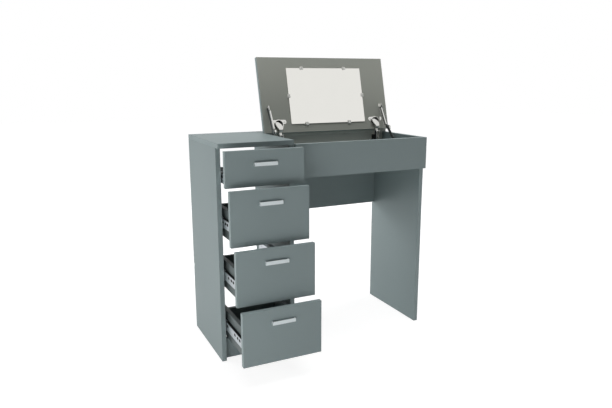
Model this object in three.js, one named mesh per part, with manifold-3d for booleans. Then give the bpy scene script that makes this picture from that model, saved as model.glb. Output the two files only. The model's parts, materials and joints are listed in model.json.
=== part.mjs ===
// Writing desk with a four-drawer pedestal and a lift-up lid with a mirror. Millimetres, +Z up.
// The desk is drawn from its left outer face (x = 0), the front edges of its panels (y = 0) and the
// floor (z = 0), with +Y towards the back. It stands with the drawers part open and the lid raised.
import * as THREE from 'three';
import { mergeVertices } from 'three/addons/utils/BufferGeometryUtils.js';
import Module from 'manifold-3d';

const wasm = await Module();
wasm.setup();

// Driving dimensions of the carcass.
const WIDTH = 810;
const DEPTH = 332;
const HEIGHT = 750;
const BOARD = 16;
const TOP_OVERHANG = 28;
const PEDESTAL = 272;
const PANEL_TOP = HEIGHT - BOARD;
const BAY = [BOARD, PEDESTAL - BOARD];
const KNEE = [PEDESTAL, WIDTH - BOARD];
const FIXED_TOP_WIDTH = 262;
const FLOOR_UNDERSIDE = 617;
const REAR_STRIP_FRONT = 262.5;
const HINGE_BOARD_BACK = REAR_STRIP_FRONT + BOARD;
const MODESTY_BOTTOM = 427;
const PLINTH_TOP = 72;
const PLINTH_SETBACK = 22;
const REAR_RAIL_TOP = 45;
const CLEARANCE = 0.3;

// Drawers, from the top one down: height of the front and how far each one stands open.
const FRONT_GAP = 3;
const FRONT_TOP = 731.5;
const FRONT_X = [2, 270];
const FRONT_BACK = -1;
const DRAWERS = [
  { frontHeight: 115.5, sideHeight: 42, slideHeight: 4, opening: 70 },
  { frontHeight: 177, sideHeight: 97, slideHeight: 33, opening: 110 },
  { frontHeight: 177, sideHeight: 97, slideHeight: 33, opening: 152 },
  { frontHeight: 177, sideHeight: 97, slideHeight: 33, opening: 199 },
];
const SLIDE_SPACE = 12.5;
const BOX_LENGTH = 300;
const BOX_WALL = 14;
const BOX_DROP = 2;
const BACK_DROP = 19;
const BOTTOM_LIFT = 6;
const BOTTOM_THICKNESS = 4;
const GROOVE_DEPTH = 5;

// Ball-bearing slides: the drawer's channel runs inside the cabinet's channel.
const SLIDE_LENGTH = 296;
const SLIDE_START = 3;
const STEEL = 1.25;
const CABINET_CHANNEL = { height: 35, depth: 8.5 };
const DRAWER_CHANNEL = { height: 29, depth: 9.7, lip: 6 };
const SLIDE_GROOVE = { drop: 7, height: 2.4, depth: 0.7 };
const SLIDE_HOLES = [24, 61, 81, 108, 184, 248];
const SLIDE_HOLE = { radius: 3.4, lift: 4 };

// Strap handles.
const HANDLE = { width: 78, height: 11.5, depth: 10, strap: 2.5, x: 136, drop: 44 };

// Lid, drawn closed and turned about its hinge line to its open stop.
const LID_X = [264, 810];
const LID_OPEN_DEG = 104.3;
const LID_PIVOT = [257, 747.5];
const LID_REAR = 259.5;
const LID_UNDERSIDE = 734.5;
const MIRROR = { x: [378, 701], fromRear: [31, 246], thickness: 3 };

// Concealed hinges with a 35 mm cup.
const HINGE_X = [326.5, 750];
const CUP = { fromRear: 31.5, radius: 17.5, depth: 11.3, wall: 1.2, pocketRadius: 18, pocketDepth: 12 };
const CUP_FLANGE = { radius: 19, thickness: 1, earSpan: 62, earHeight: 16, earOffset: 9.5 };
const ARM = { width: 18, front: 226, cheekBack: 236, bottom: 668, shoulder: 726, top: 743 };
const ARM_SLOT = { width: 11, bottom: 676, back: 240 };
const ARM_WINGS = { span: 50, height: 16, bottom: 688, thickness: 2.5 };
const HINGE_PIN = { y: 234.2, z: 739.6, radius: 1.5 };
const HINGE_LINK = { width: 9.5, thickness: 2, reach: 21.3, eye: 2.9, openDeg: 64 };

// Two-link lid stays, one at each end wall of the lid compartment.
const STAY = { linkWidth: 13, linkThickness: 2, linkLength: 100.8, pinRadius: 3, headRadius: 5.5 };
const STAY_WALL_PIVOT = [136, 685];
const STAY_LID_PIVOT = { fromRear: 95, offFace: 8 };
const STAY_PLATE = { width: 26, height: 40, thickness: 2 };
const STAY_BOSS_RADIUS = 6;
const STAY_LOWER_PLANE = 9.3;
const STAY_UPPER_PLANE = 11.6;
const STAY_HEAD = 1.2;
const STAY_EAR = { thickness: 2, height: 13, foot: 6 };

// Sides of the round pieces, and steps in each half-round end.
const ROUND = 24;
const SMALL_ROUND = 16;
const HOLE_ROUND = 12;
const ARC_STEPS = 8;

const FINISHES = {
  board: { color: 0x757f80, roughness: 0.55, metalness: 0 },
  boardInside: { color: 0x6c7371, roughness: 0.6, metalness: 0 },
  drawerBox: { color: 0x525c5c, roughness: 0.65, metalness: 0 },
  zinc: { color: 0xb9c0c6, roughness: 0.35, metalness: 1 },
  nickel: { color: 0xd2d5d3, roughness: 0.25, metalness: 1 },
  handle: { color: 0xc3cacc, roughness: 0.4, metalness: 0.9 },
  mirror: { color: 0xe5e4df, roughness: 0.03, metalness: 1 },
};

// A named mesh with its own material.
function piece(name, finish, geometry) {
  const mesh = new THREE.Mesh(geometry, new THREE.MeshStandardMaterial(FINISHES[finish]));
  mesh.name = name;
  return mesh;
}

// A box between two corners, given as a range along each axis.
function block([x0, x1], [y0, y1], [z0, z1]) {
  const geometry = new THREE.BoxGeometry(x1 - x0, y1 - y0, z1 - z0);
  geometry.translate((x0 + x1) / 2, (y0 + y1) / 2, (z0 + z1) / 2);
  return geometry;
}

// A cylinder along X between two x values, centred on a point in the YZ plane.
function barAlongX([x0, x1], [y, z], radius, segments = SMALL_ROUND) {
  const geometry = new THREE.CylinderGeometry(radius, radius, Math.abs(x1 - x0), segments);
  geometry.rotateZ(Math.PI / 2);
  geometry.translate((x0 + x1) / 2, y, z);
  return geometry;
}

// A closed outline through [across, up] points.
function polygon(points) {
  return new THREE.Shape(points.map(([across, up]) => new THREE.Vector2(across, up)));
}

function extrude(shape, depth) {
  return new THREE.ExtrudeGeometry(shape, { depth, bevelEnabled: false, curveSegments: ARC_STEPS });
}

// A shape in the YZ plane extruded along X between two x values.
function extrudeAlongX(shape, [x0, x1]) {
  const geometry = extrude(shape, x1 - x0);
  geometry.applyMatrix4(new THREE.Matrix4().set(0, 0, 1, x0, 1, 0, 0, 0, 0, 1, 0, 0, 0, 0, 0, 1));
  return geometry;
}

// A shape in the XY plane extruded upwards between two heights.
function extrudeUp(shape, [z0, z1]) {
  const geometry = extrude(shape, z1 - z0);
  geometry.translate(0, 0, z0);
  return geometry;
}

// A shape in the XZ plane extruded along Y between two y values.
function extrudeAlongY(shape, [y0, y1]) {
  const geometry = extrude(shape, y1 - y0);
  geometry.rotateX(Math.PI / 2);
  geometry.translate(0, y1, 0);
  return geometry;
}

function toManifold(geometry) {
  const plain = geometry.clone();
  plain.deleteAttribute('normal');
  plain.deleteAttribute('uv');
  const merged = mergeVertices(plain, 1e-4);
  return new wasm.Manifold(new wasm.Mesh({
    numProp: 3,
    vertProperties: new Float32Array(merged.attributes.position.array),
    triVerts: new Uint32Array(merged.index.array),
  }));
}

function fromManifold(solid) {
  const { vertProperties, triVerts } = solid.getMesh();
  const geometry = new THREE.BufferGeometry();
  geometry.setAttribute('position', new THREE.BufferAttribute(new Float32Array(vertProperties), 3));
  geometry.setIndex(new THREE.BufferAttribute(new Uint32Array(triVerts), 1));
  geometry.computeVertexNormals();
  return geometry;
}

// Joins the first geometries and cuts the second ones out of the result.
function carve(joined, cuts = []) {
  const solid = joined.map(toManifold).reduce((whole, next) => whole.add(next));
  return fromManifold(cuts.map(toManifold).reduce((whole, next) => whole.subtract(next), solid));
}

function carcass() {
  const floorTop = FLOOR_UNDERSIDE + BOARD;
  const whole = [0, DEPTH];
  const upright = [0, PANEL_TOP];
  const top = [PANEL_TOP, HEIGHT];
  return [
    piece('left_side_panel', 'board', block([0, BOARD], whole, upright)),
    piece('divider_panel', 'board', block([BAY[1], PEDESTAL], whole, upright)),
    piece('right_leg_panel', 'board', block([KNEE[1], WIDTH], whole, upright)),
    piece('fixed_top', 'board', block([0, FIXED_TOP_WIDTH], [-TOP_OVERHANG, DEPTH], top)),
    piece('rear_top_strip', 'board', block(LID_X, [REAR_STRIP_FRONT, DEPTH], top)),
    piece('modesty_panel', 'board', block(KNEE, [DEPTH - BOARD, DEPTH], [MODESTY_BOTTOM, PANEL_TOP])),
    piece('compartment_floor', 'boardInside',
      block(KNEE, [0, HINGE_BOARD_BACK], [FLOOR_UNDERSIDE, floorTop])),
    piece('hinge_board', 'boardInside',
      block(KNEE, [REAR_STRIP_FRONT, HINGE_BOARD_BACK], [floorTop, PANEL_TOP])),
    piece('front_apron', 'board',
      block([FRONT_X[1] + FRONT_GAP, WIDTH], [-BOARD, 0], [FLOOR_UNDERSIDE, PANEL_TOP])),
    piece('plinth_board', 'board', block(BAY, [PLINTH_SETBACK, PLINTH_SETBACK + BOARD], [0, PLINTH_TOP])),
    piece('rear_rail', 'board', block(BAY, [DEPTH - BOARD, DEPTH], [0, REAR_RAIL_TOP])),
  ];
}

// A slide's section, given as [distance from the web's outer face, height], becomes a bar along Y.
function slideBar(section, webX, side, middleZ) {
  const outline = section.map(([away, up]) => [webX + side * away, middleZ + up]);
  return extrudeAlongY(polygon(side > 0 ? outline : outline.reverse()),
    [SLIDE_START, SLIDE_START + SLIDE_LENGTH]);
}

// The fixed channel: its web lies on the pedestal's panel and its flanges reach over the moving one.
function cabinetChannel(name, webX, side, middleZ) {
  const { height, depth } = CABINET_CHANNEL;
  const half = height / 2;
  const section = [
    [0, -half], [depth, -half], [depth, -half + STEEL], [STEEL, -half + STEEL],
    [STEEL, half - STEEL], [depth, half - STEEL], [depth, half], [0, half],
  ];
  return piece(name, 'zinc', slideBar(section, webX, side, middleZ));
}

// The moving channel: its web faces the panel, with a pressed groove and holes, and its lips lie on the box.
function drawerChannel(name, boxX, side, middleZ) {
  const { height, depth, lip } = DRAWER_CHANNEL;
  const half = height / 2;
  const grooveLow = -SLIDE_GROOVE.drop - SLIDE_GROOVE.height / 2;
  const grooveHigh = grooveLow + SLIDE_GROOVE.height;
  const section = [
    [0, -half], [depth, -half], [depth, -half + lip], [depth - STEEL, -half + lip],
    [depth - STEEL, -half + STEEL], [STEEL, -half + STEEL],
    [STEEL, half - STEEL], [depth - STEEL, half - STEEL],
    [depth - STEEL, half - lip], [depth, half - lip], [depth, half], [0, half],
    [0, grooveHigh], [SLIDE_GROOVE.depth, grooveHigh], [SLIDE_GROOVE.depth, grooveLow], [0, grooveLow],
  ];
  const webX = boxX - side * depth;
  const channel = slideBar(section, webX, side, middleZ);
  const holes = SLIDE_HOLES.map((y) => barAlongX([webX - STEEL * 2, webX + STEEL * 2],
    [SLIDE_START + y, middleZ + SLIDE_HOLE.lift], SLIDE_HOLE.radius, HOLE_ROUND));
  return piece(name, 'zinc', carve([channel], holes));
}

// Two sides and a lower back in one folded piece, grooved for the bottom panel.
function drawerWrap(name, [x0, x1], bottom, sideHeight) {
  const front = FRONT_BACK + CLEARANCE;
  const back = FRONT_BACK + BOX_LENGTH;
  const sides = [bottom, bottom + sideHeight];
  const backBoard = block([x0, x1], [back - BOX_WALL, back], [bottom, bottom + sideHeight - BACK_DROP]);
  const leftSide = block([x0, x0 + BOX_WALL], [front, back], sides);
  const rightSide = block([x1 - BOX_WALL, x1], [front, back], sides);
  const reach = BOX_WALL - GROOVE_DEPTH;
  const groove = block([x0 + reach, x1 - reach], [front - BOX_WALL, back - reach],
    [bottom + BOTTOM_LIFT - CLEARANCE, bottom + BOTTOM_LIFT + BOTTOM_THICKNESS + CLEARANCE]);
  return piece(name, 'drawerBox', carve([leftSide, rightSide, backBoard], [groove]));
}

function drawerBottom(name, [x0, x1], bottom) {
  const inset = BOX_WALL - GROOVE_DEPTH + CLEARANCE;
  const z = bottom + BOTTOM_LIFT;
  const y = [FRONT_BACK + CLEARANCE, FRONT_BACK + BOX_LENGTH - inset];
  return piece(name, 'drawerBox', block([x0 + inset, x1 - inset], y, [z, z + BOTTOM_THICKNESS]));
}

function strapHandle(name, frontTop) {
  const { width, height, depth, strap, x, drop } = HANDLE;
  const face = FRONT_BACK - BOARD;
  const [left, right, outer] = [x - width / 2, x + width / 2, face - depth];
  const outline = [
    [left, face], [left, outer], [right, outer], [right, face],
    [right - strap, face], [right - strap, outer + strap],
    [left + strap, outer + strap], [left + strap, face],
  ];
  const heights = [frontTop - drop - height / 2, frontTop - drop + height / 2];
  return piece(name, 'handle', extrudeUp(polygon(outline), heights));
}

// The pedestal's drawers with both halves of their slides, stacked from the top down.
function drawers() {
  const parts = [];
  let frontTop = FRONT_TOP;
  DRAWERS.forEach(({ frontHeight, sideHeight, slideHeight, opening }, index) => {
    const name = `drawer_${index + 1}`;
    const frontBottom = frontTop - frontHeight;
    const boxX = [BAY[0] + SLIDE_SPACE, BAY[1] - SLIDE_SPACE];
    const boxBottom = frontBottom - BOX_DROP;
    const slideZ = frontBottom + slideHeight + CABINET_CHANNEL.height / 2;
    const drawer = new THREE.Group();
    drawer.position.y = -opening;
    drawer.add(
      piece(`${name}_front`, 'board',
        block(FRONT_X, [FRONT_BACK - BOARD, FRONT_BACK], [frontBottom, frontTop])),
      drawerWrap(`${name}_box`, boxX, boxBottom, sideHeight),
      drawerBottom(`${name}_bottom`, boxX, boxBottom),
      strapHandle(`${name}_handle`, frontTop),
      drawerChannel(`${name}_slide_left`, boxX[0] - CLEARANCE, 1, slideZ),
      drawerChannel(`${name}_slide_right`, boxX[1] + CLEARANCE, -1, slideZ),
    );
    parts.push(
      drawer,
      cabinetChannel(`cabinet_slide_${index + 1}_left`, BAY[0], 1, slideZ),
      cabinetChannel(`cabinet_slide_${index + 1}_right`, BAY[1], -1, slideZ),
    );
    frontTop = frontBottom - FRONT_GAP;
  });
  return parts;
}

// A bar outline with half-round ends in the XY plane, which is a circle where width equals height.
function roundedBar(centreX, centreY, width, height) {
  const shape = new THREE.Shape();
  const radius = height / 2;
  const half = width / 2 - radius;
  shape.absarc(centreX + half, centreY, radius, -Math.PI / 2, Math.PI / 2, false);
  shape.absarc(centreX - half, centreY, radius, Math.PI / 2, Math.PI * 1.5, false);
  return shape;
}

// The hinge cup, drawn on the closed lid: a shell sunk in the lid and a flange with two ears below it.
function hingeCup(name, x, underside, rearEdge) {
  const { radius, depth, wall, fromRear } = CUP;
  const y = rearEdge - fromRear;
  const mouth = underside - CLEARANCE;
  const profile = [
    [0, depth], [radius, depth], [radius, -CUP_FLANGE.thickness], [radius - wall, -CUP_FLANGE.thickness],
    [radius - wall, depth - wall], [0, depth - wall],
  ].map(([r, h]) => new THREE.Vector2(r, h));
  const shell = new THREE.LatheGeometry(profile.reverse(), ROUND);
  shell.rotateX(Math.PI / 2);
  shell.translate(x, y, mouth);
  const flangeZ = [mouth - CUP_FLANGE.thickness, mouth];
  const ears = extrudeUp(
    roundedBar(x, y - CUP_FLANGE.earOffset, CUP_FLANGE.earSpan, CUP_FLANGE.earHeight), flangeZ);
  const rim = extrudeUp(roundedBar(x, y, CUP_FLANGE.radius * 2, CUP_FLANGE.radius * 2), flangeZ);
  const hollow = extrudeUp(roundedBar(x, y, (radius - wall) * 2, (radius - wall) * 2),
    [mouth - CUP_FLANGE.thickness * 2, mouth + CUP_FLANGE.thickness]);
  const flange = fromManifold(toManifold(rim).add(toManifold(ears)).subtract(toManifold(hollow)));
  return piece(name, 'nickel', carve([shell, flange]));
}

// The fixed half of a hinge: a cranked, slotted arm with two screw wings, on the hinge board.
function hingeArm(name, x) {
  const wallY = REAR_STRIP_FRONT;
  const outline = [
    [ARM.front, ARM.bottom], [wallY, ARM.bottom], [wallY, ARM.shoulder],
    [ARM.cheekBack, ARM.shoulder], [ARM.cheekBack, ARM.top], [ARM.front, ARM.top],
  ];
  const arm = extrudeAlongX(polygon(outline), [x - ARM.width / 2, x + ARM.width / 2]);
  const wings = block([x - ARM_WINGS.span / 2, x + ARM_WINGS.span / 2], [wallY - ARM_WINGS.thickness, wallY],
    [ARM_WINGS.bottom, ARM_WINGS.bottom + ARM_WINGS.height]);
  const slot = block([x - ARM_SLOT.width / 2, x + ARM_SLOT.width / 2], [ARM.front - BOARD, ARM_SLOT.back],
    [ARM_SLOT.bottom, ARM.top + BOARD]);
  const pin = barAlongX([x - ARM.width / 2 + 1, x + ARM.width / 2 - 1], [HINGE_PIN.y, HINGE_PIN.z],
    HINGE_PIN.radius);
  const slotted = carve([arm, wings], [slot]);
  return piece(name, 'nickel', carve([slotted, pin]));
}

// The moving link of a hinge, an eye on the arm's pin with a flat tongue towards the cup.
function hingeLink(name, x) {
  const link = new THREE.Group();
  link.position.set(x, HINGE_PIN.y, HINGE_PIN.z);
  link.rotation.x = THREE.MathUtils.degToRad(HINGE_LINK.openDeg);
  const half = HINGE_LINK.width / 2;
  const eye = barAlongX([-half, half], [0, 0], HINGE_LINK.eye);
  const tongue = block([-half, half], [0, HINGE_LINK.reach],
    [-HINGE_LINK.thickness / 2, HINGE_LINK.thickness / 2]);
  const bore = barAlongX([-half - 1, half + 1], [0, 0], HINGE_PIN.radius + CLEARANCE);
  link.add(piece(name, 'nickel', carve([eye, tongue], [bore])));
  return link;
}

function lid() {
  const [pivotY, pivotZ] = LID_PIVOT;
  const group = new THREE.Group();
  group.position.set(0, pivotY, pivotZ);
  group.rotation.x = THREE.MathUtils.degToRad(-LID_OPEN_DEG);
  const rear = LID_REAR - pivotY;
  const front = -TOP_OVERHANG - pivotY;
  const underside = LID_UNDERSIDE - pivotZ;
  const panel = block(LID_X, [front, rear], [underside, underside + BOARD]);
  const pockets = HINGE_X.map((x) => extrudeUp(
    roundedBar(x, rear - CUP.fromRear, CUP.pocketRadius * 2, CUP.pocketRadius * 2),
    [underside - BOARD, underside + CUP.pocketDepth]));
  group.add(piece('lid_panel', 'boardInside', carve([panel], pockets)));
  const glassTop = underside - CLEARANCE;
  const glassY = [rear - MIRROR.fromRear[1], rear - MIRROR.fromRear[0]];
  group.add(piece('mirror', 'mirror', block(MIRROR.x, glassY, [glassTop - MIRROR.thickness, glassTop])));
  group.add(hingeCup('hinge_cup_left', HINGE_X[0], underside, rear));
  group.add(hingeCup('hinge_cup_right', HINGE_X[1], underside, rear));
  const lidPivot = [rear - STAY_LID_PIVOT.fromRear, underside - STAY_LID_PIVOT.offFace];
  group.add(stayLidBracket('stay_lid_bracket_left', KNEE[0], 1, lidPivot, underside));
  group.add(stayLidBracket('stay_lid_bracket_right', KNEE[1], -1, lidPivot, underside));
  return group;
}

// The range along X between two distances from an end wall, on the side that faces the compartment.
function fromWall(wallX, side, near, far) {
  return side > 0 ? [wallX + near, wallX + far] : [wallX - far, wallX - near];
}

// An ear on the lid with the upper link's pin, and a foot along the lid's inner face.
function stayLidBracket(name, wallX, side, [y, z], underside) {
  const ear = STAY_UPPER_PLANE + STAY.linkThickness + CLEARANCE;
  const footFace = underside - CLEARANCE;
  const plate = block(fromWall(wallX, side, ear, ear + STAY_EAR.thickness),
    [y - STAY_EAR.height / 2, y + STAY_EAR.height / 2], [z - STAY.headRadius, footFace]);
  const foot = block(fromWall(wallX, side, ear, ear + STAY_EAR.thickness + STAY_EAR.foot),
    [y - STAY_EAR.height / 2, y + STAY_EAR.height / 2], [footFace - STAY_EAR.thickness, footFace]);
  const headFace = STAY_UPPER_PLANE - CLEARANCE;
  const pin = barAlongX(fromWall(wallX, side, headFace - STAY_HEAD / 2, ear + 1), [y, z], STAY.pinRadius);
  const head = barAlongX(fromWall(wallX, side, headFace - STAY_HEAD, headFace), [y, z], STAY.headRadius);
  return piece(name, 'nickel', carve([plate, foot, pin, head]));
}

// A plate on the end wall with a boss and the lower link's pin.
function stayWallBracket(name, wallX, side) {
  const [y, z] = STAY_WALL_PIVOT;
  const plate = block(fromWall(wallX, side, 0, STAY_PLATE.thickness),
    [y - STAY_PLATE.width / 2, y + STAY_PLATE.width / 2],
    [z - STAY_PLATE.height / 2, z + STAY_PLATE.height / 2]);
  const bossEnd = STAY_LOWER_PLANE - CLEARANCE;
  const boss = barAlongX(fromWall(wallX, side, STAY_PLATE.thickness / 2, bossEnd), [y, z], STAY_BOSS_RADIUS);
  const headFace = STAY_LOWER_PLANE + STAY.linkThickness + CLEARANCE;
  const pinReach = fromWall(wallX, side, bossEnd - 1, headFace + STAY_HEAD / 2);
  const pin = barAlongX(pinReach, [y, z], STAY.pinRadius);
  const head = barAlongX(fromWall(wallX, side, headFace, headFace + STAY_HEAD), [y, z], STAY.headRadius);
  return piece(name, 'zinc', carve([plate, boss, pin, head]));
}

// A flat link that starts at its pivot and points along +Y, bored for its pin at the pivot.
function stayLink(name, wallX, side, plane, rivet) {
  const half = STAY.linkWidth / 2;
  const outline = new THREE.Shape();
  outline.absarc(STAY.linkLength, 0, half, -Math.PI / 2, Math.PI / 2, false);
  outline.absarc(0, 0, half, Math.PI / 2, Math.PI * 1.5, false);
  const bar = extrudeAlongX(outline, fromWall(wallX, side, plane, plane + STAY.linkThickness));
  const across = fromWall(wallX, side, plane - 1, plane + STAY.linkThickness + 1);
  const bore = barAlongX(across, [0, 0], STAY.pinRadius + CLEARANCE);
  const solids = [bar];
  if (rivet) {
    const outer = fromWall(wallX, side, plane + 1, plane + STAY.linkThickness + STAY_HEAD);
    solids.push(barAlongX(outer, [STAY.linkLength, 0], STAY.headRadius));
  }
  return piece(name, 'zinc', carve(solids, [bore]));
}

// The point where two links of equal length meet, on the lower, rear side of the line between pivots.
function kneeBetween([ay, az], [by, bz], length) {
  const half = Math.hypot(by - ay, bz - az) / 2;
  const bulge = Math.sqrt(length * length - half * half);
  const [ny, nz] = [(bz - az) / (2 * half), -(by - ay) / (2 * half)];
  return [(ay + by) / 2 + ny * bulge, (az + bz) / 2 + nz * bulge];
}

// Where a point of the closed lid, given from the hinge line, goes when the lid turns.
function lidPoint([y, z], degrees) {
  const turned = new THREE.Vector2(y, z)
    .rotateAround(new THREE.Vector2(0, 0), THREE.MathUtils.degToRad(degrees));
  return [LID_PIVOT[0] + turned.x, LID_PIVOT[1] + turned.y];
}

function stays() {
  const onLid = [LID_REAR - LID_PIVOT[0] - STAY_LID_PIVOT.fromRear,
    LID_UNDERSIDE - LID_PIVOT[1] - STAY_LID_PIVOT.offFace];
  const lidPivot = lidPoint(onLid, -LID_OPEN_DEG);
  const knee = kneeBetween(STAY_WALL_PIVOT, lidPivot, STAY.linkLength);
  return [['left', KNEE[0], 1], ['right', KNEE[1], -1]].flatMap(([hand, wallX, side]) => {
    const lower = new THREE.Group();
    lower.position.set(0, ...STAY_WALL_PIVOT);
    lower.rotation.x = Math.atan2(knee[1] - STAY_WALL_PIVOT[1], knee[0] - STAY_WALL_PIVOT[0]);
    lower.add(stayLink(`stay_lower_link_${hand}`, wallX, side, STAY_LOWER_PLANE, false));
    const upper = new THREE.Group();
    upper.position.set(0, ...lidPivot);
    upper.rotation.x = Math.atan2(knee[1] - lidPivot[1], knee[0] - lidPivot[0]);
    upper.add(stayLink(`stay_upper_link_${hand}`, wallX, side, STAY_UPPER_PLANE, true));
    return [lower, upper, stayWallBracket(`stay_wall_bracket_${hand}`, wallX, side)];
  });
}

// The origin is on the floor, midway across the desk and midway between the lowest drawer's
// handle and the back edges of the panels.
const desk = new THREE.Group();
const frontmost = FRONT_BACK - BOARD - HANDLE.depth - DRAWERS[DRAWERS.length - 1].opening;
desk.position.set(-WIDTH / 2, -(DEPTH + frontmost) / 2, 0);
desk.add(...carcass(), ...drawers(), lid(), ...stays());
desk.add(hingeArm('hinge_arm_left', HINGE_X[0]), hingeArm('hinge_arm_right', HINGE_X[1]));
desk.add(hingeLink('hinge_link_left', HINGE_X[0]), hingeLink('hinge_link_right', HINGE_X[1]));

export default desk;
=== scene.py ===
"""Looks of the writing desk.

Grey melamine boards, zinc slides, nickel hinges and stays, and the lid's mirror.
"""

import json
import math

import bmesh
import bpy
from mathutils import Matrix, Vector


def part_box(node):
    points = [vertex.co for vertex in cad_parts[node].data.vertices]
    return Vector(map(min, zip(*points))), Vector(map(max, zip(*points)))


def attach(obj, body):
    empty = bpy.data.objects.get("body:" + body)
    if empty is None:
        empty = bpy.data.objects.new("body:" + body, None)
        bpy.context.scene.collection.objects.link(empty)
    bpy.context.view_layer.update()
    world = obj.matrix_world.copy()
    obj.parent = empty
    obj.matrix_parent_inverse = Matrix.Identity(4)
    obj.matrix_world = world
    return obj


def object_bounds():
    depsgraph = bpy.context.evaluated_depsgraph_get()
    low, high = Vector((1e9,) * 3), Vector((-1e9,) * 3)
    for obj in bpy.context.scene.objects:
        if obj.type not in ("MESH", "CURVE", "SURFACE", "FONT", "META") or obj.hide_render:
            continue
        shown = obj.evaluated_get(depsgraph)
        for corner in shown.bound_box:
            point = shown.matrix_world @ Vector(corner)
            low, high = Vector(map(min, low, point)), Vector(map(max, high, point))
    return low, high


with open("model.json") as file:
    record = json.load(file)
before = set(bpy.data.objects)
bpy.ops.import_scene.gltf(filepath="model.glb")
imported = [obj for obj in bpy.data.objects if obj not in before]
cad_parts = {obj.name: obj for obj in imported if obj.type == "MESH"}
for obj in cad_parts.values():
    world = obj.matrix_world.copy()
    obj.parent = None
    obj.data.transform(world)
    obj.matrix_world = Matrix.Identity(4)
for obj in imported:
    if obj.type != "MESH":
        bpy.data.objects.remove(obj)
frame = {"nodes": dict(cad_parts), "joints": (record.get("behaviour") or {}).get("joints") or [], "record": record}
NODES = frame["nodes"]
CAD_LOW, CAD_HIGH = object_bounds()
JOINTS = {joint["name"]: joint for joint in frame["joints"]}

MM = 0.001

# Camera: standing place in metres, turn to the right, tilt down and roll in degrees, lens in millimetres.
CAMERA_AT = (-0.9373, -1.8381, 0.9492)
CAMERA_TURN = 25.48
CAMERA_TILT = 12.17
CAMERA_ROLL = 0.14
CAMERA_LENS = 34.3
CAMERA_SENSOR = 36.0

# Colours as seen, 0 to 255.
BOARD_GREY = (134, 147, 148)
BOARD_WARM = (163, 166, 158)
# The paler warm grey below is painted light on the front faces of the hinge board and the rear strip under the
# open lid.
BOARD_PAINTED_LIGHT = (186, 188, 181)
BOX_GREY = (96, 105, 105)
ZINC = (198, 204, 208)
NICKEL = (222, 222, 218)
# The darker steel grey below is painted shade on the stay links, beside their bright nickel folded edges.
STAY_PAINTED_SHADE = (112, 117, 117)
HANDLE_GREY = (212, 220, 222)
MIRROR_TINT = (229, 228, 223)
CLIP_GREY = (226, 226, 221)
# The near-black below is painted shade, for the pieces in the hinge cups, on the hinge arms and in and round the
# slides.
PAINTED_SHADE_BLACK = (24, 25, 26)

# Boards whose face inside the open lid has another tone than the rest of the desk: the lid's own warm tone, and on
# the hinge board and the rear strip a paler grey that is painted light on their front faces.
INNER_TONES_AND_PAINTED_LIGHT = {"lid_panel": BOARD_WARM, "hinge_board": BOARD_PAINTED_LIGHT, "rear_top_strip": BOARD_PAINTED_LIGHT}

# The lid stands open at rest. LID_TURN takes a place on the closed lid there.
LID_OPEN = math.radians(JOINTS["lid_hinge"]["range_deg"][1])
LID_PIVOT = Vector(JOINTS["lid_hinge"]["pos_m"])
LID_TURN = (Matrix.Translation(LID_PIVOT) @ Matrix.Rotation(-LID_OPEN, 4, "X")
            @ Matrix.Translation(-LID_PIVOT))
LID_INWARD = LID_TURN.to_3x3() @ Vector((0, 0, -1))


def linear(rgb):
    """A colour of 0 to 255 as the linear values that shaders take."""
    def channel(value):
        value = value / 255
        return value / 12.92 if value <= 0.04045 else ((value + 0.055) / 1.055) ** 2.4
    return tuple(channel(value) for value in rgb) + (1.0,)


def shade(rgb, factor):
    """A linear colour made lighter or darker."""
    return tuple(min(1.0, value * factor) for value in rgb[:3]) + (1.0,)


# ---------------------------------------------------------------- shader helpers

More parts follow.
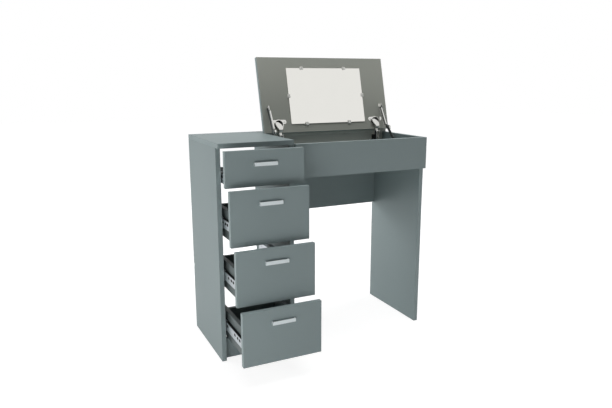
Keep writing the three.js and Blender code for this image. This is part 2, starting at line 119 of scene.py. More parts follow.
class Shader:
    """A Principled material with short ways to add and join nodes."""

    def __init__(self, name):
        self.material = bpy.data.materials.new(name)
        self.material.use_nodes = True
        self.tree = self.material.node_tree
        self.bsdf = self.tree.nodes["Principled BSDF"]
        self.coords = self.add("ShaderNodeTexCoord").outputs["Object"]

    def add(self, kind, **settings):
        """A new node with its settings."""
        node = self.tree.nodes.new(kind)
        for key, value in settings.items():
            setattr(node, key, value)
        return node

    def feed(self, value, socket):
        """Joins an output to a socket, or sets the socket to a plain value."""
        if isinstance(value, bpy.types.NodeSocket):
            self.tree.links.new(value, socket)
        else:
            socket.default_value = value

    def set(self, name, value):
        """Feeds a socket of the Principled shader."""
        self.feed(value, self.bsdf.inputs[name])

    def math(self, operation, first, second):
        """The result of an operation on two numbers."""
        node = self.add("ShaderNodeMath", operation=operation)
        self.feed(first, node.inputs[0])
        self.feed(second, node.inputs[1])
        return node.outputs[0]

    def stretch(self, scale):
        """Object coordinates with each axis scaled by its own amount."""
        node = self.add("ShaderNodeMapping")
        self.feed(self.coords, node.inputs["Vector"])
        node.inputs["Scale"].default_value = scale
        return node.outputs["Vector"]

    def noise(self, scale, detail=3.0, roughness=0.5, vector=None):
        """A cloudy pattern from 0 to 1."""
        node = self.add("ShaderNodeTexNoise")
        self.feed(vector or self.coords, node.inputs["Vector"])
        node.inputs["Scale"].default_value = scale
        node.inputs["Detail"].default_value = detail
        node.inputs["Roughness"].default_value = roughness
        return node.outputs["Fac"]

    def faces(self, direction):
        """1 on the faces that look along a direction, and 0 elsewhere."""
        node = self.add("ShaderNodeVectorMath", operation="DOT_PRODUCT")
        self.feed(self.add("ShaderNodeTexCoord").outputs["Normal"], node.inputs[0])
        node.inputs[1].default_value = direction
        return self.math("GREATER_THAN", node.outputs["Value"], 0.5)

    def between(self, factor, low, high):
        """A number that runs from low to high as factor runs from 0 to 1."""
        node = self.add("ShaderNodeMapRange")
        self.feed(factor, node.inputs["Value"])
        node.inputs["To Min"].default_value = low
        node.inputs["To Max"].default_value = high
        return node.outputs["Result"]

    def mix(self, factor, first, second, blend="MIX"):
        """A colour from the first to the second as factor runs from 0 to 1."""
        node = self.add("ShaderNodeMix", data_type="RGBA", blend_type=blend)
        self.feed(factor, node.inputs[0])
        self.feed(first, node.inputs[6])
        self.feed(second, node.inputs[7])
        return node.outputs[2]

    def bump(self, height, strength, distance):
        """Raises the surface where height is near 1."""
        node = self.add("ShaderNodeBump")
        self.feed(height, node.inputs["Height"])
        node.inputs["Strength"].default_value = strength
        node.inputs["Distance"].default_value = distance
        self.feed(node.outputs["Normal"], self.bsdf.inputs["Normal"])


# ---------------------------------------------------------------- materials

BAND = 0.8 * MM
SEAM = 0.12 * MM
MIRROR_RIM = 1.5 * MM
BOARD_GRAIN = (420.0, 420.0, 900.0)
FOIL_FIBRE = (60.0, 18.0, 500.0)

# Rolling streaks of the metals run along one axis, which has the smallest scale.
STREAKS_X = (12.0, 300.0, 300.0)
STREAKS_Y = (300.0, 12.0, 300.0)
STREAKS_Z = (200.0, 200.0, 40.0)


def edge_distance(shader, axis, low, high):
    """How far inside a box a point lies, from the nearer of the box's two faces along an axis."""
    parts = shader.add("ShaderNodeSeparateXYZ")
    shader.feed(shader.coords, parts.inputs[0])
    middle = (low[axis] + high[axis]) / 2
    offset = shader.math("ABSOLUTE", shader.math("SUBTRACT", parts.outputs[axis], middle), 0.0)
    return shader.math("SUBTRACT", (high[axis] - low[axis]) / 2, offset)


def band_mask(shader, low, high):
    """1 on a board's edge banding, and 1 on the seam behind it, round the board's four narrow faces."""
    size = high - low
    thin = min(range(3), key=lambda axis: size[axis])
    mask = None
    seam = None
    for axis in (axis for axis in range(3) if axis != thin):
        inside = edge_distance(shader, axis, low, high)
        banded = shader.math("LESS_THAN", inside, BAND)
        joint = shader.math("COMPARE", inside, BAND)
        joint.node.inputs[2].default_value = SEAM
        mask = banded if mask is None else shader.math("MAXIMUM", mask, banded)
        seam = joint if seam is None else shader.math("MAXIMUM", seam, joint)
    return mask, seam


def board_material(name, low, high, rgb, inner_tone_and_painted_light=None):
    """Matt melamine with a fine pressed grain, faint cloudiness, and paler edge bands behind a thin seam.

    A board may have another tone on the face that looks into the open lid's side of the desk; on the hinge board
    and the rear strip that tone is painted light.
    """
    shader = Shader(name)
    base = linear(rgb)
    cloud = shader.noise(5.0, detail=4.0)
    grain = shader.noise(1.0, detail=5.0, roughness=0.6, vector=shader.stretch(BOARD_GRAIN))
    face = shader.mix(cloud, shade(base, 0.955), shade(base, 1.045))
    face = shader.mix(grain, shade(base, 0.94), face)
    mask, seam = band_mask(shader, low, high)
    banded = shader.mix(mask, face, shade(base, 1.08))
    # The face towards the open lid takes the other tone; on the hinge board and the rear strip it is painted
    # light.
    if inner_tone_and_painted_light:
        ratio = [inner / outer for inner, outer in zip(linear(inner_tone_and_painted_light)[:3], base)]
        banded = shader.mix(shader.faces(LID_INWARD), banded, (*ratio, 1.0), blend="MULTIPLY")
    shader.set("Base Color", shader.mix(seam, banded, shade(base, 0.62)))
    shader.set("Roughness", shader.between(cloud, 0.46, 0.58))
    shader.set("Specular IOR Level", 0.27)
    shader.bump(grain, 0.12, 0.15 * MM)
    return shader.material


def foil_material(name, rgb):
    """Smooth foil on the drawer boxes, duller than the boards."""
    shader = Shader(name)
    base = linear(rgb)
    fibre = shader.noise(1.0, detail=4.0, vector=shader.stretch(FOIL_FIBRE))
    cloud = shader.noise(9.0)
    face = shader.mix(cloud, shade(base, 0.9), shade(base, 1.1))
    shader.set("Base Color", shader.mix(fibre, shade(base, 0.93), face))
    shader.set("Roughness", shader.between(fibre, 0.5, 0.66))
    shader.bump(fibre, 0.1, 0.1 * MM)
    return shader.material


def metal_material(name, rgb, roughness, streak, wear=0.12, metallic=1.0):
    """Plated pressed steel: metallic, with rolling streaks and cloudy plating."""
    shader = Shader(name)
    base = linear(rgb)
    streaks = shader.noise(1.0, detail=4.0, vector=shader.stretch(streak))
    plating = shader.noise(70.0, detail=2.0)
    tone = shader.mix(plating, shade(base, 1.0 - wear), shade(base, 1.0 + wear / 3))
    shader.set("Base Color", shader.mix(streaks, shade(base, 1.0 - wear), tone))
    shader.set("Metallic", metallic)
    shader.set("Roughness", shader.between(streaks, roughness - 0.08, roughness + 0.1))
    shader.bump(streaks, 0.08, 0.05 * MM)
    return shader.material


def plastic_material(name, rgb, roughness, gloss):
    """Moulded plastic with a faint orange-peel surface."""
    shader = Shader(name)
    base = linear(rgb)
    peel = shader.noise(900.0, detail=2.0)
    shader.set("Base Color", shader.mix(peel, shade(base, 0.93), shade(base, 1.04)))
    shader.set("Roughness", shader.between(peel, roughness - 0.06, roughness + 0.06))
    shader.set("Specular IOR Level", gloss)
    shader.bump(peel, 0.1, 0.05 * MM)
    return shader.material


def mirror_material(name, low, high):
    """Silvered glass with a polished, slightly paler rim at its left and right ends."""
    shader = Shader(name)
    rim = shader.math("LESS_THAN", edge_distance(shader, 0, low, high), MIRROR_RIM)
    silver = linear(MIRROR_TINT)
    haze = shader.noise(14.0, detail=2.0)
    face = shader.mix(haze, shade(silver, 0.985), shade(silver, 1.01))
    shader.set("Base Color", shader.mix(rim, face, shade(silver, 1.12)))
    shader.set("Metallic", 1.0)
    shader.set("Roughness", shader.between(haze, 0.015, 0.03))
    return shader.material


# ---------------------------------------------------------------- CAD nodes

BOARD_ROUNDING = 0.6 * MM
BOX_ROUNDING = 0.4 * MM
HANDLE_ROUNDING = 0.5 * MM
MIRROR_ROUNDING = 0.5 * MM
WELD = 0.005 * MM
NODE_SHARP = math.radians(40)
PIECE_SHARP = math.radians(35)


def round_edges(thing, width, angle):
    """Bevels the edges of an object that are sharper than an angle."""
    bevel = thing.modifiers.new("bevel", "BEVEL")
    bevel.width = width
    bevel.segments = 2
    bevel.limit_method = "ANGLE"
    bevel.angle_limit = angle


def soften(node, width):
    """Rounds a CAD node's sharp edges a little."""
    NODES[node].modifiers.new("weld", "WELD").merge_threshold = WELD
    round_edges(NODES[node], width, NODE_SHARP)
    NODES[node].modifiers.new("normals", "WEIGHTED_NORMAL").keep_sharp = True


def paint(node, material):
    """Gives a CAD node one material all over."""
    for slot in NODES[node].material_slots:
        slot.material = material


def dress_cad_nodes():
    """Gives every CAD node its material, rounds the edges of the boards, drawer boxes, handles and mirror, and
    returns the platings that small pieces share.
    """
    subparts = frame["record"]["subparts"]
    boards = {entry["node"] for entry in subparts if entry["material_slot"] == "board"}
    foil = foil_material("drawer foil", BOX_GREY)
    zinc = metal_material("zinc plate", ZINC, 0.34, STREAKS_Y)
    nickel = metal_material("nickel plate", NICKEL, 0.26, STREAKS_Z)
    satin = metal_material("handle satin", HANDLE_GREY, 0.42, STREAKS_X, wear=0.06, metallic=0.35)
    # The stay links get this darker steel as painted shade.
    stay_painted_shade = metal_material("stay steel painted shade", STAY_PAINTED_SHADE, 0.4, STREAKS_Z)
    for node in NODES:
        if node in boards:
            low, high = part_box(node)
            paint(node, board_material(f"melamine {node}", low, high, BOARD_GREY, INNER_TONES_AND_PAINTED_LIGHT.get(node)))
            soften(node, BOARD_ROUNDING)
        elif node.endswith("_box") or node.endswith("_bottom"):
            paint(node, foil)
            soften(node, BOX_ROUNDING)
        elif node.endswith("_handle"):
            paint(node, satin)
            soften(node, HANDLE_ROUNDING)
        elif node.startswith("stay") and "_link_" in node:
            paint(node, stay_painted_shade)
        elif "slide" in node:
            paint(node, zinc)
        elif node == "mirror":
            paint(node, mirror_material("silvered glass", *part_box(node)))
            soften(node, MIRROR_ROUNDING)
        else:
            paint(node, nickel)
    return nickel, zinc


# ---------------------------------------------------------------- small solids

RING = 24
RING_STEP = math.tau / RING

# Outlines in the YZ plane raised along X, and outlines in the XZ plane raised along Y.
YZ_TO_X = Matrix(((0, 0, 1, 0), (1, 0, 0, 0), (0, 1, 0, 0), (0, 0, 0, 1)))
XZ_TO_Y = Matrix(((1, 0, 0, 0), (0, 0, 1, 0), (0, 1, 0, 0), (0, 0, 0, 1)))


def ring(radii, height):
    """Points every 15 degrees round the local Z axis, at one radius or at a list of them."""
    if isinstance(radii, (int, float)):
        radii = [radii] * RING
    turns = [i * RING_STEP for i in range(RING)]
    return [Vector((r * math.cos(turn), r * math.sin(turn), height)) for r, turn in zip(radii, turns)]


def cross_radii(reach):
    """The outline of a cross recess in a screw head, as one radius per ring point.

    Each arm of the cross ends at three ring points, and the points between two arms lie on their sides.
    """
    radii = []
    for i in range(RING):
        turn = abs((i * RING_STEP + math.pi / 4) % (math.pi / 2) - math.pi / 4)
        if turn < RING_STEP * 1.01:
            radii.append(reach / math.cos(turn))
        else:
            radii.append(reach * math.tan(RING_STEP) / math.sin(turn))
    return radii


def facing(place, normal, spin=0.0):
    """The matrix that stands a piece on a place, with its local Z along the normal."""
    turn = Vector(normal).to_track_quat("Z", "Y").to_matrix().to_4x4()
    return Matrix.Translation(place) @ turn @ Matrix.Rotation(spin, 4, "Z")


def axes_at(place, x_axis, y_axis, z_axis):
    """The matrix that stands a piece on a place, with its local axes along three directions."""
    return Matrix.Translation(place) @ Matrix((x_axis, y_axis, z_axis)).transposed().to_4x4()


def bar_outline(low_x, high_x, low_y, high_y):
    """The outline of a rectangle."""
    return [(low_x, low_y), (high_x, low_y), (high_x, high_y), (low_x, high_y)]


def oblong(x, y, straight, radius):
    """The outline of a slot with round ends, lying along the first axis."""
    points = []
    for i in range(RING):
        turn = (i + 0.5) * RING_STEP
        end = math.copysign(straight / 2, math.cos(turn))
        points.append((x + end + radius * math.cos(turn), y + radius * math.sin(turn)))
    return points


def add_stack(mesh, sections, matrix):
    """Adds a closed solid through a stack of sections, lowest first, with the same number of points each."""
    rows = [[mesh.verts.new(matrix @ Vector(point)) for point in points] for points in sections]
    count = len(rows[0])
    for low, high in zip(rows, rows[1:]):
        for i in range(count):
            j = (i + 1) % count
            mesh.faces.new((low[i], low[j], high[j], high[i]))
    mesh.faces.new(list(reversed(rows[0])))
    mesh.faces.new(rows[-1])


def add_prism(mesh, outline, low, high, matrix):
    """Adds a closed solid from an outline in the local XY plane between two heights."""
    add_stack(mesh, [[(x, y, height) for x, y in outline] for height in (low, high)], matrix)


def add_loft(mesh, sections, matrix):
    """Adds a closed solid through rectangles given as (along, low, high, left, right) in millimetres."""
    rows = []
    for along, low, high, left, right in sections:
        corners = ((low, left), (high, left), (high, right), (low, right))
        rows.append([Vector((along, up, across)) * MM for up, across in corners])
    add_stack(mesh, rows, matrix)


def finish_piece(name, mesh, body, material, bevel=0.0):
    """Turns a bmesh into a piece that rides on a body, with soft edges where a bevel is given."""
    bmesh.ops.recalc_face_normals(mesh, faces=mesh.faces)
    for face in mesh.faces:
        face.smooth = True
    data = bpy.data.meshes.new(name)
    mesh.to_mesh(data)
    mesh.free()
    data.materials.append(material)
    piece = bpy.data.objects.new(name, data)
    bpy.context.scene.collection.objects.link(piece)
    if bevel:
        round_edges(piece, bevel, PIECE_SHARP)
    piece.modifiers.new("normals", "WEIGHTED_NORMAL").keep_sharp = True
    data.set_sharp_from_angle(angle=PIECE_SHARP)
    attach(piece, body)


# A screw head's dome from the surface up, and its cross recess from the mouth down, as shares of the head's
# radius and height. Below the surface it goes on as a neck.
DOME = ((0.98, 0.0), (1.0, 0.25), (0.95, 0.6), (0.8, 0.9), (0.66, 1.0))
RECESS = ((0.58, 1.0), (0.42, 0.15))
NECK = 0.94
NECK_LONG = 0.3 * MM

# The first screw's turn and how much further each next one is turned, in radians.
SCREW_TURN = 0.4
SCREW_TURN_STEP = 1.3

# Screws by the radius and height of their heads.
CLIP_SCREW = (2.6 * MM, 0.9 * MM)
EAR_SCREW = (4.0 * MM, 0.9 * MM)
WING_SCREW = (4.0 * MM, 1.6 * MM)
ADJUSTER_SCREW = (3.8 * MM, 2.4 * MM)
BRACKET_SCREW = (3.6 * MM, 1.4 * MM)
SLIDE_SCREW = (3.6 * MM, 0.7 * MM)
HANDLE_SCREW = (3.8 * MM, 2.0 * MM)


def screws(name, body, material, spots, size):
    """Domed screw heads with a cross recess, at (place, normal) spots, as one piece."""
    radius, height = size
    rings = [ring(radius * NECK, -NECK_LONG)]
    rings += [ring(radius * share, height * rise) for share, rise in DOME]
    rings += [ring(cross_radii(radius * share), height * rise) for share, rise in RECESS]
    mesh = bmesh.new()
    for number, (place, normal) in enumerate(spots):
        add_stack(mesh, rings, facing(place, normal, spin=SCREW_TURN + SCREW_TURN_STEP * number))
    finish_piece(name, mesh, body, material)


# ---------------------------------------------------------------- places

# The way along X from each side of a pair towards its middle.
INWARD = {"left": 1, "right": -1}


def side_faces(node, side):
    """A node's outer and inner faces along X."""
    low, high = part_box(node)
    return (low.x, high.x) if side == "left" else (high.x, low.x)


def closed_box(node):
    """A lid node's lowest and highest corners with the lid closed."""
    flat = LID_TURN.inverted()
    points = [flat @ vertex.co for vertex in NODES[node].data.vertices]
    low = Vector([min(point[axis] for point in points) for axis in range(3)])
    high = Vector([max(point[axis] for point in points) for axis in range(3)])
    return low, high


def on_lid(x, y, z):
    """Where a place on the closed lid stands with the lid open."""
    return LID_TURN @ Vector((x, y, z))


# ---------------------------------------------------------------- lid: mirror clips

# A clip's width, its foot from the gap beside the mirror's edge to its reach, its lap and lip over the
# glass, how far up its outer face starts to slope, and the chamfers of the slope and the nose.
CLIP_WIDTH = 14.0 * MM
CLIP_GAP = 0.3 * MM
CLIP_LAP = 6.5 * MM
CLIP_REACH = 6.0 * MM
CLIP_LIP = 2.0 * MM
CLIP_OVER_GLASS = 0.1 * MM
CLIP_SHOULDER = 0.75
CLIP_SLOPE = 1.4 * MM
CLIP_NOSE = 0.8 * MM
CLIP_SCREW_OUT = 1.6 * MM

# The clips above and below the mirror stand in from its left and right ends by these shares of its width.
CLIP_FROM_LEFT = 0.2
CLIP_FROM_RIGHT = 0.224


def clip_profile(depth):
    """A clip's section across the mirror's edge, as (outward, inward): a foot beside it, a lip over it."""
    top = depth + CLIP_LIP
    glass = depth + CLIP_OVER_GLASS
    foot = [(CLIP_GAP, 0), (CLIP_REACH, 0), (CLIP_REACH, depth * CLIP_SHOULDER)]
    lip = [(CLIP_REACH - CLIP_SLOPE, top), (-CLIP_LAP + CLIP_NOSE, top), (-CLIP_LAP, depth + CLIP_LIP / 2)]
    return foot + lip + [(-CLIP_LAP, glass), (CLIP_GAP, glass)]


def clip_spots(low, high):
    """The clips' places on the mirror's edge with their ways out: two above, two below, one at each side."""
    width = high.x - low.x
    columns = (low.x + width * CLIP_FROM_LEFT, high.x - width * CLIP_FROM_RIGHT)
    middle = (low + high) / 2
    spots = [(x, high.y, (0, 1)) for x in columns] + [(x, low.y, (0, -1)) for x in columns]
    return spots + [(low.x, middle.y, (-1, 0)), (high.x, middle.y, (1, 0))]


def mirror_clips(plastic, steel):
    """Six moulded clips that lap over the mirror's edge, and the screws that hold them."""
    low, high = closed_box("mirror")
    face = closed_box("lid_panel")[0].z
    depth = face - low.z
    profile = clip_profile(depth)
    screw_spots = []
    for number, (x, y, (out_x, out_y)) in enumerate(clip_spots(low, high)):
        outward = LID_TURN.to_3x3() @ Vector((out_x, out_y, 0))
        base = on_lid(x, y, face)
        mesh = bmesh.new()
        matrix = axes_at(base, outward, LID_INWARD, outward.cross(LID_INWARD))
        add_prism(mesh, profile, -CLIP_WIDTH / 2, CLIP_WIDTH / 2, matrix)
        finish_piece(f"mirror_clip_{number + 1}", mesh, "lid", plastic, bevel=0.5 * MM)
        screw_spots.append((base + outward * CLIP_SCREW_OUT + LID_INWARD * (depth + CLIP_LIP), LID_INWARD))
    screws("mirror_clip_screws", "lid", steel, screw_spots, CLIP_SCREW)


# ---------------------------------------------------------------- lid: hinges

# The cup: where its ears' screws and its middle are, and the black shell inside it that is painted shade.
EAR_SCREW_X = 23.0 * MM
EAR_SCREW_Y = 9.5 * MM
CUP_RIM = 19.0 * MM
CUP_DEPTH = 10.9 * MM
CUP_SHADE_RADIUS = 15.6 * MM
CUP_SHADE_THICK = 0.6 * MM
CUP_SHADE_HIGH = 3.2 * MM

# The arm: its wings' screws, the adjusters in its slot, and the black sheets on its cheeks that are painted shade.
WING_SCREW_X = 17.0 * MM
WING_SCREW_Z = 28.0 * MM
WING_THICK = 2.5 * MM
ADJUSTER_Y = 14.0 * MM
ADJUSTERS_Z = (16.0 * MM, 32.0 * MM, 48.0 * MM)
ARM_HALF = 9.0 * MM
CHEEK_SHADE_THICK = 0.8 * MM
CHEEK_SHADE_FRONT = 0.5 * MM
CHEEK_SHADE_BACK = 2.6 * MM
CHEEK_SHADE_NECK = 9.5 * MM
CHEEK_SHADE_ENDS = 1.0 * MM
SHOULDER_BACK = 18.0 * MM
SHOULDER_FRONT = 16.0 * MM

# The crank from the link's pin into the cup, as add_loft takes it, and the way the link points at rest.
CRANK = (
    (9.6, -1.4, 6.0, -7.0, 7.0), (14.0, -1.4, 11.0, -7.2, 7.2), (18.0, -1.4, 13.2, -7.2, 7.2),
    (19.8, 8.2, 14.0, -8.5, 8.5), (30.0, 8.2, 14.4, -15.0, 9.5), (38.0, 8.2, 13.4, -17.5, 6.0),
    (45.0, 8.2, 12.0, -17.5, 0.0), (50.0, 8.4, 10.0, -16.0, -6.0),
)
LINK_REST = math.radians(64)


def cup_details(side, x, nickel, dark):
    """The screws in a cup's ears, and a black shell inside its rim, which is painted shade in the cup's hollow."""
    cup = f"hinge_cup_{side}"
    low, high = closed_box(cup)
    y = high.y - CUP_RIM
    ears = [(on_lid(x + dx, y - EAR_SCREW_Y, low.z), LID_INWARD) for dx in (-EAR_SCREW_X, EAR_SCREW_X)]
    screws(f"{cup}_screws", "lid", nickel, ears, EAR_SCREW)
    # A thin black shell on the cup's floor and up its wall, as painted shade.
    inner = CUP_SHADE_RADIUS - CUP_SHADE_THICK
    painted_cup_shade = [
        ring(CUP_SHADE_RADIUS, 0), ring(CUP_SHADE_RADIUS, CUP_SHADE_HIGH), ring(inner, CUP_SHADE_HIGH),
        ring(inner, CUP_SHADE_THICK),
    ]
    mesh = bmesh.new()
    add_stack(mesh, painted_cup_shade, facing(on_lid(x, y, low.z + CUP_DEPTH), LID_INWARD))
    finish_piece(f"{cup}_lining", mesh, "lid", dark)


def arm_screws(side, x, nickel):
    """The screws in an arm's wings and the three adjusters down its middle."""
    arm = f"hinge_arm_{side}"
    low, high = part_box(arm)
    front = (0, -1, 0)
    wing_columns = (x - WING_SCREW_X, x + WING_SCREW_X)
    wings = [(Vector((column, high.y - WING_THICK, low.z + WING_SCREW_Z)), front) for column in wing_columns]
    screws(f"{arm}_screws", "carcass", nickel, wings, WING_SCREW)
    adjusters = [(Vector((x, low.y + ADJUSTER_Y, low.z + rise)), front) for rise in ADJUSTERS_Z]
    screws(f"{arm}_adjusters", "carcass", nickel, adjusters, ADJUSTER_SCREW)


def hinge_crank(side, x, nickel):
    """The cranked lever that goes on from the link and bridges arm and cup."""
    pin = Vector(JOINTS[f"hinge_link_{side}_pin"]["pos_m"])
    along = Vector((0, math.cos(LINK_REST), math.sin(LINK_REST)))
    bulge = Vector((0, -math.sin(LINK_REST), math.cos(LINK_REST)))
    mesh = bmesh.new()
    add_loft(mesh, CRANK, axes_at((x, pin.y, pin.z), along, bulge, (1, 0, 0)))
    finish_piece(f"hinge_crank_{side}", mesh, f"link_hinge_{side}", nickel, bevel=1.4 * MM)


def arm_painted_shade(side, x, dark):
    """Black sheets on an arm's cheeks as painted shade: deep at the foot, and a narrow neck above the shoulder."""
    arm = f"hinge_arm_{side}"
    low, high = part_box(arm)
    front, neck, back = low.y + CHEEK_SHADE_FRONT, low.y + CHEEK_SHADE_NECK, high.y - CHEEK_SHADE_BACK
    foot, head = low.z + CHEEK_SHADE_ENDS, high.z - CHEEK_SHADE_ENDS
    outline = [
        (back, foot), (back, high.z - SHOULDER_BACK), (neck, high.z - SHOULDER_FRONT), (neck, head),
        (front, head), (front, foot),
    ]
    mesh = bmesh.new()
    for cheek in (x - ARM_HALF - CHEEK_SHADE_THICK, x + ARM_HALF):
        add_prism(mesh, outline, cheek, cheek + CHEEK_SHADE_THICK, YZ_TO_X)
    finish_piece(f"{arm}_painted_cheek_shade", mesh, "carcass", dark, bevel=0.2 * MM)


def hinge_details(side, nickel, dark):
    """What one hinge has besides its CAD nodes, all centred on the cup along X."""
    low, high = closed_box(f"hinge_cup_{side}")
    x = (low.x + high.x) / 2
    cup_details(side, x, nickel, dark)
    arm_screws(side, x, nickel)
    hinge_crank(side, x, nickel)
    arm_painted_shade(side, x, dark)


# ---------------------------------------------------------------- lid: stays

# The upper link, from its pin to the knee, and its folded edges, which start and end this far from the knee.
STAY_LINK = 100.8 * MM
STAY_WIDTH = 13.0 * MM
FLANGE_THICK = 1.4 * MM
FLANGE_DEPTH = 5.0 * MM
FLANGE_START = 11.0 * MM
FLANGE_END = 86.0 * MM

# The wall bracket's sheet, and its screws' places above its middle.
BRACKET_SHEET = 2.0 * MM
BRACKET_SCREWS_Z = (-14.0 * MM, 14.0 * MM)

# The friction drum, as (radius, height) in millimetres from its base up and into the dish in its cap.
DRUM = ((8.17, 0.0), (9.5, 0.9), (9.5, 6.8), (8.17, 7.8), (5.225, 7.8), (4.75, 6.6))

# The link that each drum stands on, and the gap under the drum.
DRUM_SEATS = {"left": ("stay_upper_link_left", 0.2 * MM), "right": ("stay_lower_link_right", 0.5 * MM)}


def far_end(node, pivot):
    """A link's point that is furthest from its pivot, seen along X."""
    points = [vertex.co for vertex in NODES[node].data.vertices]
    return max(points, key=lambda point: (point.yz - pivot.yz).length).copy()


def knee_drum(side, knee, nickel):
    """The friction drum at a stay's knee."""
    seat, gap = DRUM_SEATS[side]
    place = Vector((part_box(seat)[1].x + gap, knee.y, knee.z))
    mesh = bmesh.new()
    add_stack(mesh, [ring(radius * MM, height * MM) for radius, height in DRUM], facing(place, (1, 0, 0)))
    finish_piece(f"stay_drum_{side}", mesh, f"stay_upper_{side}", nickel)


def folded_edges(side, knee, direction, nickel):
    """The folded edges that make a channel of a stay's upper link."""
    inner = side_faces(f"stay_upper_link_{side}", side)[1]
    across = Vector((0, -direction.z, direction.y))
    matrix = axes_at(Vector((inner, knee.y, knee.z)), across, Vector((INWARD[side], 0, 0)), -direction)
    mesh = bmesh.new()
    for edge in (-STAY_WIDTH / 2, STAY_WIDTH / 2 - FLANGE_THICK):
        outline = bar_outline(edge, edge + FLANGE_THICK, 0.0, FLANGE_DEPTH)
        add_prism(mesh, outline, FLANGE_START, FLANGE_END, matrix)
    finish_piece(f"stay_channel_{side}", mesh, f"stay_upper_{side}", nickel, bevel=0.3 * MM)


def bracket_screws(side, zinc):
    """The two screws through a stay's wall bracket."""
    bracket = f"stay_wall_bracket_{side}"
    low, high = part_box(bracket)
    middle = (low + high) / 2
    plate = side_faces(bracket, side)[0] + INWARD[side] * BRACKET_SHEET
    spots = [(Vector((plate, middle.y, middle.z + dz)), (INWARD[side], 0, 0)) for dz in BRACKET_SCREWS_Z]
    screws(f"{bracket}_screws", "carcass", zinc, spots, BRACKET_SCREW)


def stay_details(side, nickel, zinc):
    """What one stay has besides its CAD nodes."""
    pivot = Vector(JOINTS[f"stay_upper_{side}_pin"]["pos_m"])
    tip = far_end(f"stay_upper_link_{side}", pivot)
    direction = Vector((0, tip.y - pivot.y, tip.z - pivot.z)).normalized()
    knee = Vector((0, pivot.y, pivot.z)) + direction * STAY_LINK
    knee_drum(side, knee, nickel)
    folded_edges(side, knee, direction, nickel)
    bracket_screws(side, zinc)


# ---------------------------------------------------------------- drawers: slides and screws

DRAWERS = range(1, 5)

# A moving channel's holes, in millimetres from its front end, and the black fillings in them that are painted
# shade.
SLIDE_HOLES = (24, 61, 81, 108, 184, 248)
HOLE_LIFT = 4.0 * MM
HOLE_SHADE_HALF_HEIGHT = 4.6 * MM
HOLE_SHADE_STRAIGHT = 6.0 * MM
HOLE_SHADE_PROUD = 0.25 * MM
HOLE_SHADE_DEEP = 2.2 * MM

# The ball cage strips above and below it and the race inside it, black as painted shade.
CAGE_SHADE_WIDTH = 8.4 * MM
CAGE_SHADE_THICK = 0.9 * MM
CAGE_SHADE_LIFT = 0.35 * MM
CAGE_SHADE_ENDS = 1.0 * MM
RACE_SHADE_NEAR = 2.2 * MM
RACE_SHADE_FAR = 3.4 * MM
RACE_SHADE_EDGE = 2.4 * MM
RACE_SHADE_ENDS = 2.0 * MM

# The fixed channel's screws, in millimetres from its front end, and its sheet.
CABINET_SCREWS = (34, 162, 270)
CABINET_SHEET = 1.25 * MM

HANDLE_SCREW_INSET = 3.0 * MM


def add_painted_cage_shade(mesh, low, high):
    """Adds the ball cage strips above and below a moving channel, black as painted shade."""
    middle = (low.x + high.x) / 2
    for z in (high.z + CAGE_SHADE_LIFT, low.z - CAGE_SHADE_LIFT - CAGE_SHADE_THICK):
        outline = bar_outline(middle - CAGE_SHADE_WIDTH / 2, middle + CAGE_SHADE_WIDTH / 2, z, z + CAGE_SHADE_THICK)
        add_prism(mesh, outline, low.y + CAGE_SHADE_ENDS, high.y - CAGE_SHADE_ENDS, XZ_TO_Y)


def add_race_shade(mesh, low, high, web, inward):
    """Adds a dark strip inside a moving channel where its race lies, as painted shade behind the holes."""
    near, far = sorted((web + inward * RACE_SHADE_NEAR, web + inward * RACE_SHADE_FAR))
    outline = bar_outline(near, far, low.z + RACE_SHADE_EDGE, high.z - RACE_SHADE_EDGE)
    add_prism(mesh, outline, low.y + RACE_SHADE_ENDS, high.y - RACE_SHADE_ENDS, XZ_TO_Y)


def add_hole_shade(mesh, low, high, web, inward):
    """Adds black fillings in a moving channel's holes, as painted shade."""
    near, far = sorted((web - inward * HOLE_SHADE_PROUD, web + inward * HOLE_SHADE_DEEP))
    for reach in SLIDE_HOLES:
        z = (low.z + high.z) / 2 + HOLE_LIFT
        outline = oblong(low.y + reach * MM, z, HOLE_SHADE_STRAIGHT, HOLE_SHADE_HALF_HEIGHT)
        add_prism(mesh, outline, near, far, YZ_TO_X)


def slide_details(number, side, dark, zinc):
    """The dark pieces in and round a moving channel, which are painted shade, and the screws that hold the fixed
    channel.
    """
    inward = INWARD[side]
    channel = f"drawer_{number}_slide_{side}"
    low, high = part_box(channel)
    web = side_faces(channel, side)[0]
    mesh = bmesh.new()
    add_painted_cage_shade(mesh, low, high)
    add_race_shade(mesh, low, high, web, inward)
    add_hole_shade(mesh, low, high, web, inward)
    finish_piece(f"drawer_{number}_cages_{side}", mesh, f"drawer_{number}", dark)
    channel = f"cabinet_slide_{number}_{side}"
    low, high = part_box(channel)
    web = side_faces(channel, side)[0] + inward * CABINET_SHEET
    z = (low.z + high.z) / 2
    spots = [(Vector((web, low.y + reach * MM, z)), (inward, 0, 0)) for reach in CABINET_SCREWS]
    screws(f"{channel}_screws", "carcass", zinc, spots, SLIDE_SCREW)


def handle_screws(number, zinc):
    """Two screws through the front into the handle's feet."""
    drawer = f"drawer_{number}"
    low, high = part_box(f"{drawer}_handle")
    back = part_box(f"{drawer}_front")[1].y
    z = (low.z + high.z) / 2
    columns = (low.x + HANDLE_SCREW_INSET, high.x - HANDLE_SCREW_INSET)
    spots = [(Vector((x, back, z)), (0, 1, 0)) for x in columns]
    screws(f"{drawer}_handle_screws", drawer, zinc, spots, HANDLE_SCREW)


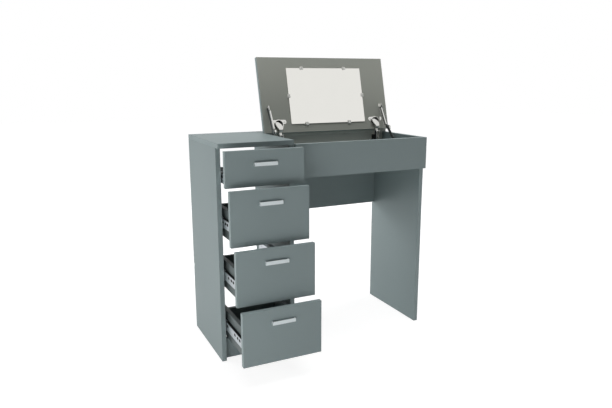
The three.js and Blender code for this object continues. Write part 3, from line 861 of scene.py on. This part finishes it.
def make_pieces(nickel, zinc):
    """Makes every piece that isn't a CAD node."""
    plastic = plastic_material("clip plastic", CLIP_GREY, 0.36, 0.5)
    # The near-black plastic is painted shade.
    dark = plastic_material("painted shade black", PAINTED_SHADE_BLACK, 0.6, 0.12)
    mirror_clips(plastic, nickel)
    for side in ("left", "right"):
        hinge_details(side, nickel, dark)
        stay_details(side, nickel, zinc)
        for number in DRAWERS:
            slide_details(number, side, dark, zinc)
    for number in DRAWERS:
        handle_screws(number, zinc)


# ---------------------------------------------------------------- stage

# How strongly the white world lights the desk. The camera and the metal see it at 1.
WORLD_LIGHT = 0.09

# The floor's grey is FLOOR_BOUNCE for the rays that light the desk, and FLOOR_SHADE where it is seen, so
# that it shows the desk's shadow. Where it is seen it also glows: at FLOOR_NEAR round the desk, rising
# between the two distances of FLOOR_FADE, in metres, to 1, which is white.
FLOOR_BOUNCE = 0.82
FLOOR_SHADE = 0.3
FLOOR_NEAR = 0.87
FLOOR_FADE = (0.9, 2.4)
FLOOR_HALF = 12.0
FLOOR_GAP = 0.2 * MM

# Lamps: name, place and target in metres, width and height in metres, and watts.
LAMPS = (
    ("top", (0.1, -0.2, 3.0), (0.0, 0.1, 0.5), (2.4, 2.0), 42),
    ("back_left", (-2.6, 1.9, 0.9), (0.0, 0.1, 0.4), (1.4, 1.0), 40),
    ("left_high", (-2.6, -0.9, 2.3), (0.0, 0.1, 0.4), (1.8, 1.8), 5),
    ("front_right", (2.4, -2.4, 1.6), (0.0, 0.0, 0.4), (1.6, 1.6), 4),
    ("floor_glow", (-1.0, -1.0, 0.02), (-0.4, -0.4, 0.5), (0.8, 0.8), 12),
    ("knee_glow", (0.7, -0.8, 0.02), (0.2, 0.2, 0.6), (0.7, 0.7), 1.5),
    ("back_glow", (-0.05, 1.15, 0.02), (0.35, 0.1, 0.45), (0.5, 0.6), 10),
    ("right_side", (3.0, 0.7, 1.5), (0.3, 0.1, 0.4), (1.6, 1.4), 36),
    ("back", (0.7, 3.0, 1.3), (0.0, 0.2, 0.4), (1.8, 1.4), 16),
)


def make_camera():
    """The camera, from its standing place, turn, tilt and roll."""
    data = bpy.data.cameras.new("camera")
    data.lens = CAMERA_LENS
    data.sensor_width = CAMERA_SENSOR
    camera = bpy.data.objects.new("camera", data)
    bpy.context.scene.collection.objects.link(camera)
    turn = Matrix.Rotation(math.radians(-CAMERA_TURN), 4, "Z")
    tilt = Matrix.Rotation(math.radians(90 - CAMERA_TILT), 4, "X")
    roll = Matrix.Rotation(math.radians(-CAMERA_ROLL), 4, "Z")
    camera.matrix_world = Matrix.Translation(CAMERA_AT) @ turn @ tilt @ roll
    bpy.context.scene.camera = camera


def softbox(name, place, target, size, watts):
    """An area lamp that lights the desk but is seen by neither the camera nor the metal."""
    data = bpy.data.lights.new(name, "AREA")
    data.shape = "RECTANGLE"
    data.size, data.size_y = size
    data.energy = watts
    lamp = bpy.data.objects.new(name, data)
    bpy.context.scene.collection.objects.link(lamp)
    lamp.location = place
    lamp.rotation_euler = (Vector(target) - Vector(place)).to_track_quat("-Z", "Y").to_euler()
    lamp.visible_glossy = False
    lamp.visible_camera = False


def seen_mask(tree):
    """1 for rays from the camera, a mirror or glass, and 0 for the rays that light the object."""
    path = tree.nodes.new("ShaderNodeLightPath")
    total = path.outputs["Is Camera Ray"]
    for output in ("Is Glossy Ray", "Is Transmission Ray"):
        node = tree.nodes.new("ShaderNodeMath")
        node.operation = "MAXIMUM"
        tree.links.new(total, node.inputs[0])
        tree.links.new(path.outputs[output], node.inputs[1])
        total = node.outputs[0]
    return total


def make_world():
    """A world that is white where it is seen and lights the desk only faintly."""
    world = bpy.data.worlds.new("studio")
    bpy.context.scene.world = world
    world.use_nodes = True
    tree = world.node_tree
    background = tree.nodes["Background"]
    background.inputs["Color"].default_value = (1, 1, 1, 1)
    strength = tree.nodes.new("ShaderNodeMapRange")
    strength.inputs["To Min"].default_value = WORLD_LIGHT
    strength.inputs["To Max"].default_value = 1.0
    tree.links.new(seen_mask(tree), strength.inputs["Value"])
    tree.links.new(strength.outputs["Result"], background.inputs["Strength"])


def floor_material():
    """A pale floor that reads as white to the camera and still takes the desk's soft shadow."""
    shader = Shader("floor")
    seen = seen_mask(shader.tree)
    shader.set("Base Color", shader.between(seen, FLOOR_BOUNCE, FLOOR_SHADE))
    shader.set("Roughness", 0.9)
    shader.set("Specular IOR Level", 0.0)
    reach = shader.add("ShaderNodeVectorMath", operation="LENGTH")
    shader.feed(shader.coords, reach.inputs[0])
    glow = shader.between(reach.outputs["Value"], FLOOR_NEAR, 1.0)
    glow.node.interpolation_type = "SMOOTHSTEP"
    shader.feed(FLOOR_FADE[0], glow.node.inputs["From Min"])
    shader.feed(FLOOR_FADE[1], glow.node.inputs["From Max"])
    shader.set("Emission Color", (1, 1, 1, 1))
    shader.set("Emission Strength", shader.math("MULTIPLY", seen, glow))
    return shader.material


def make_floor():
    """The floor, just under the desk's feet."""
    mesh = bpy.data.meshes.new("floor")
    corners = bar_outline(-FLOOR_HALF, FLOOR_HALF, -FLOOR_HALF, FLOOR_HALF)
    mesh.from_pydata([(x, y, 0) for x, y in corners], [], [(0, 1, 2, 3)])
    mesh.materials.append(floor_material())
    floor = bpy.data.objects.new("floor", mesh)
    floor.location.z = CAD_LOW.z - FLOOR_GAP
    bpy.context.scene.collection.objects.link(floor)


# ---------------------------------------------------------------- scene

make_camera()
make_world()
make_floor()
for lamp_settings in LAMPS:
    softbox(*lamp_settings)
bpy.context.scene.view_settings.view_transform = "Standard"
NICKEL_PLATE, ZINC_PLATE = dress_cad_nodes()
make_pieces(NICKEL_PLATE, ZINC_PLATE)
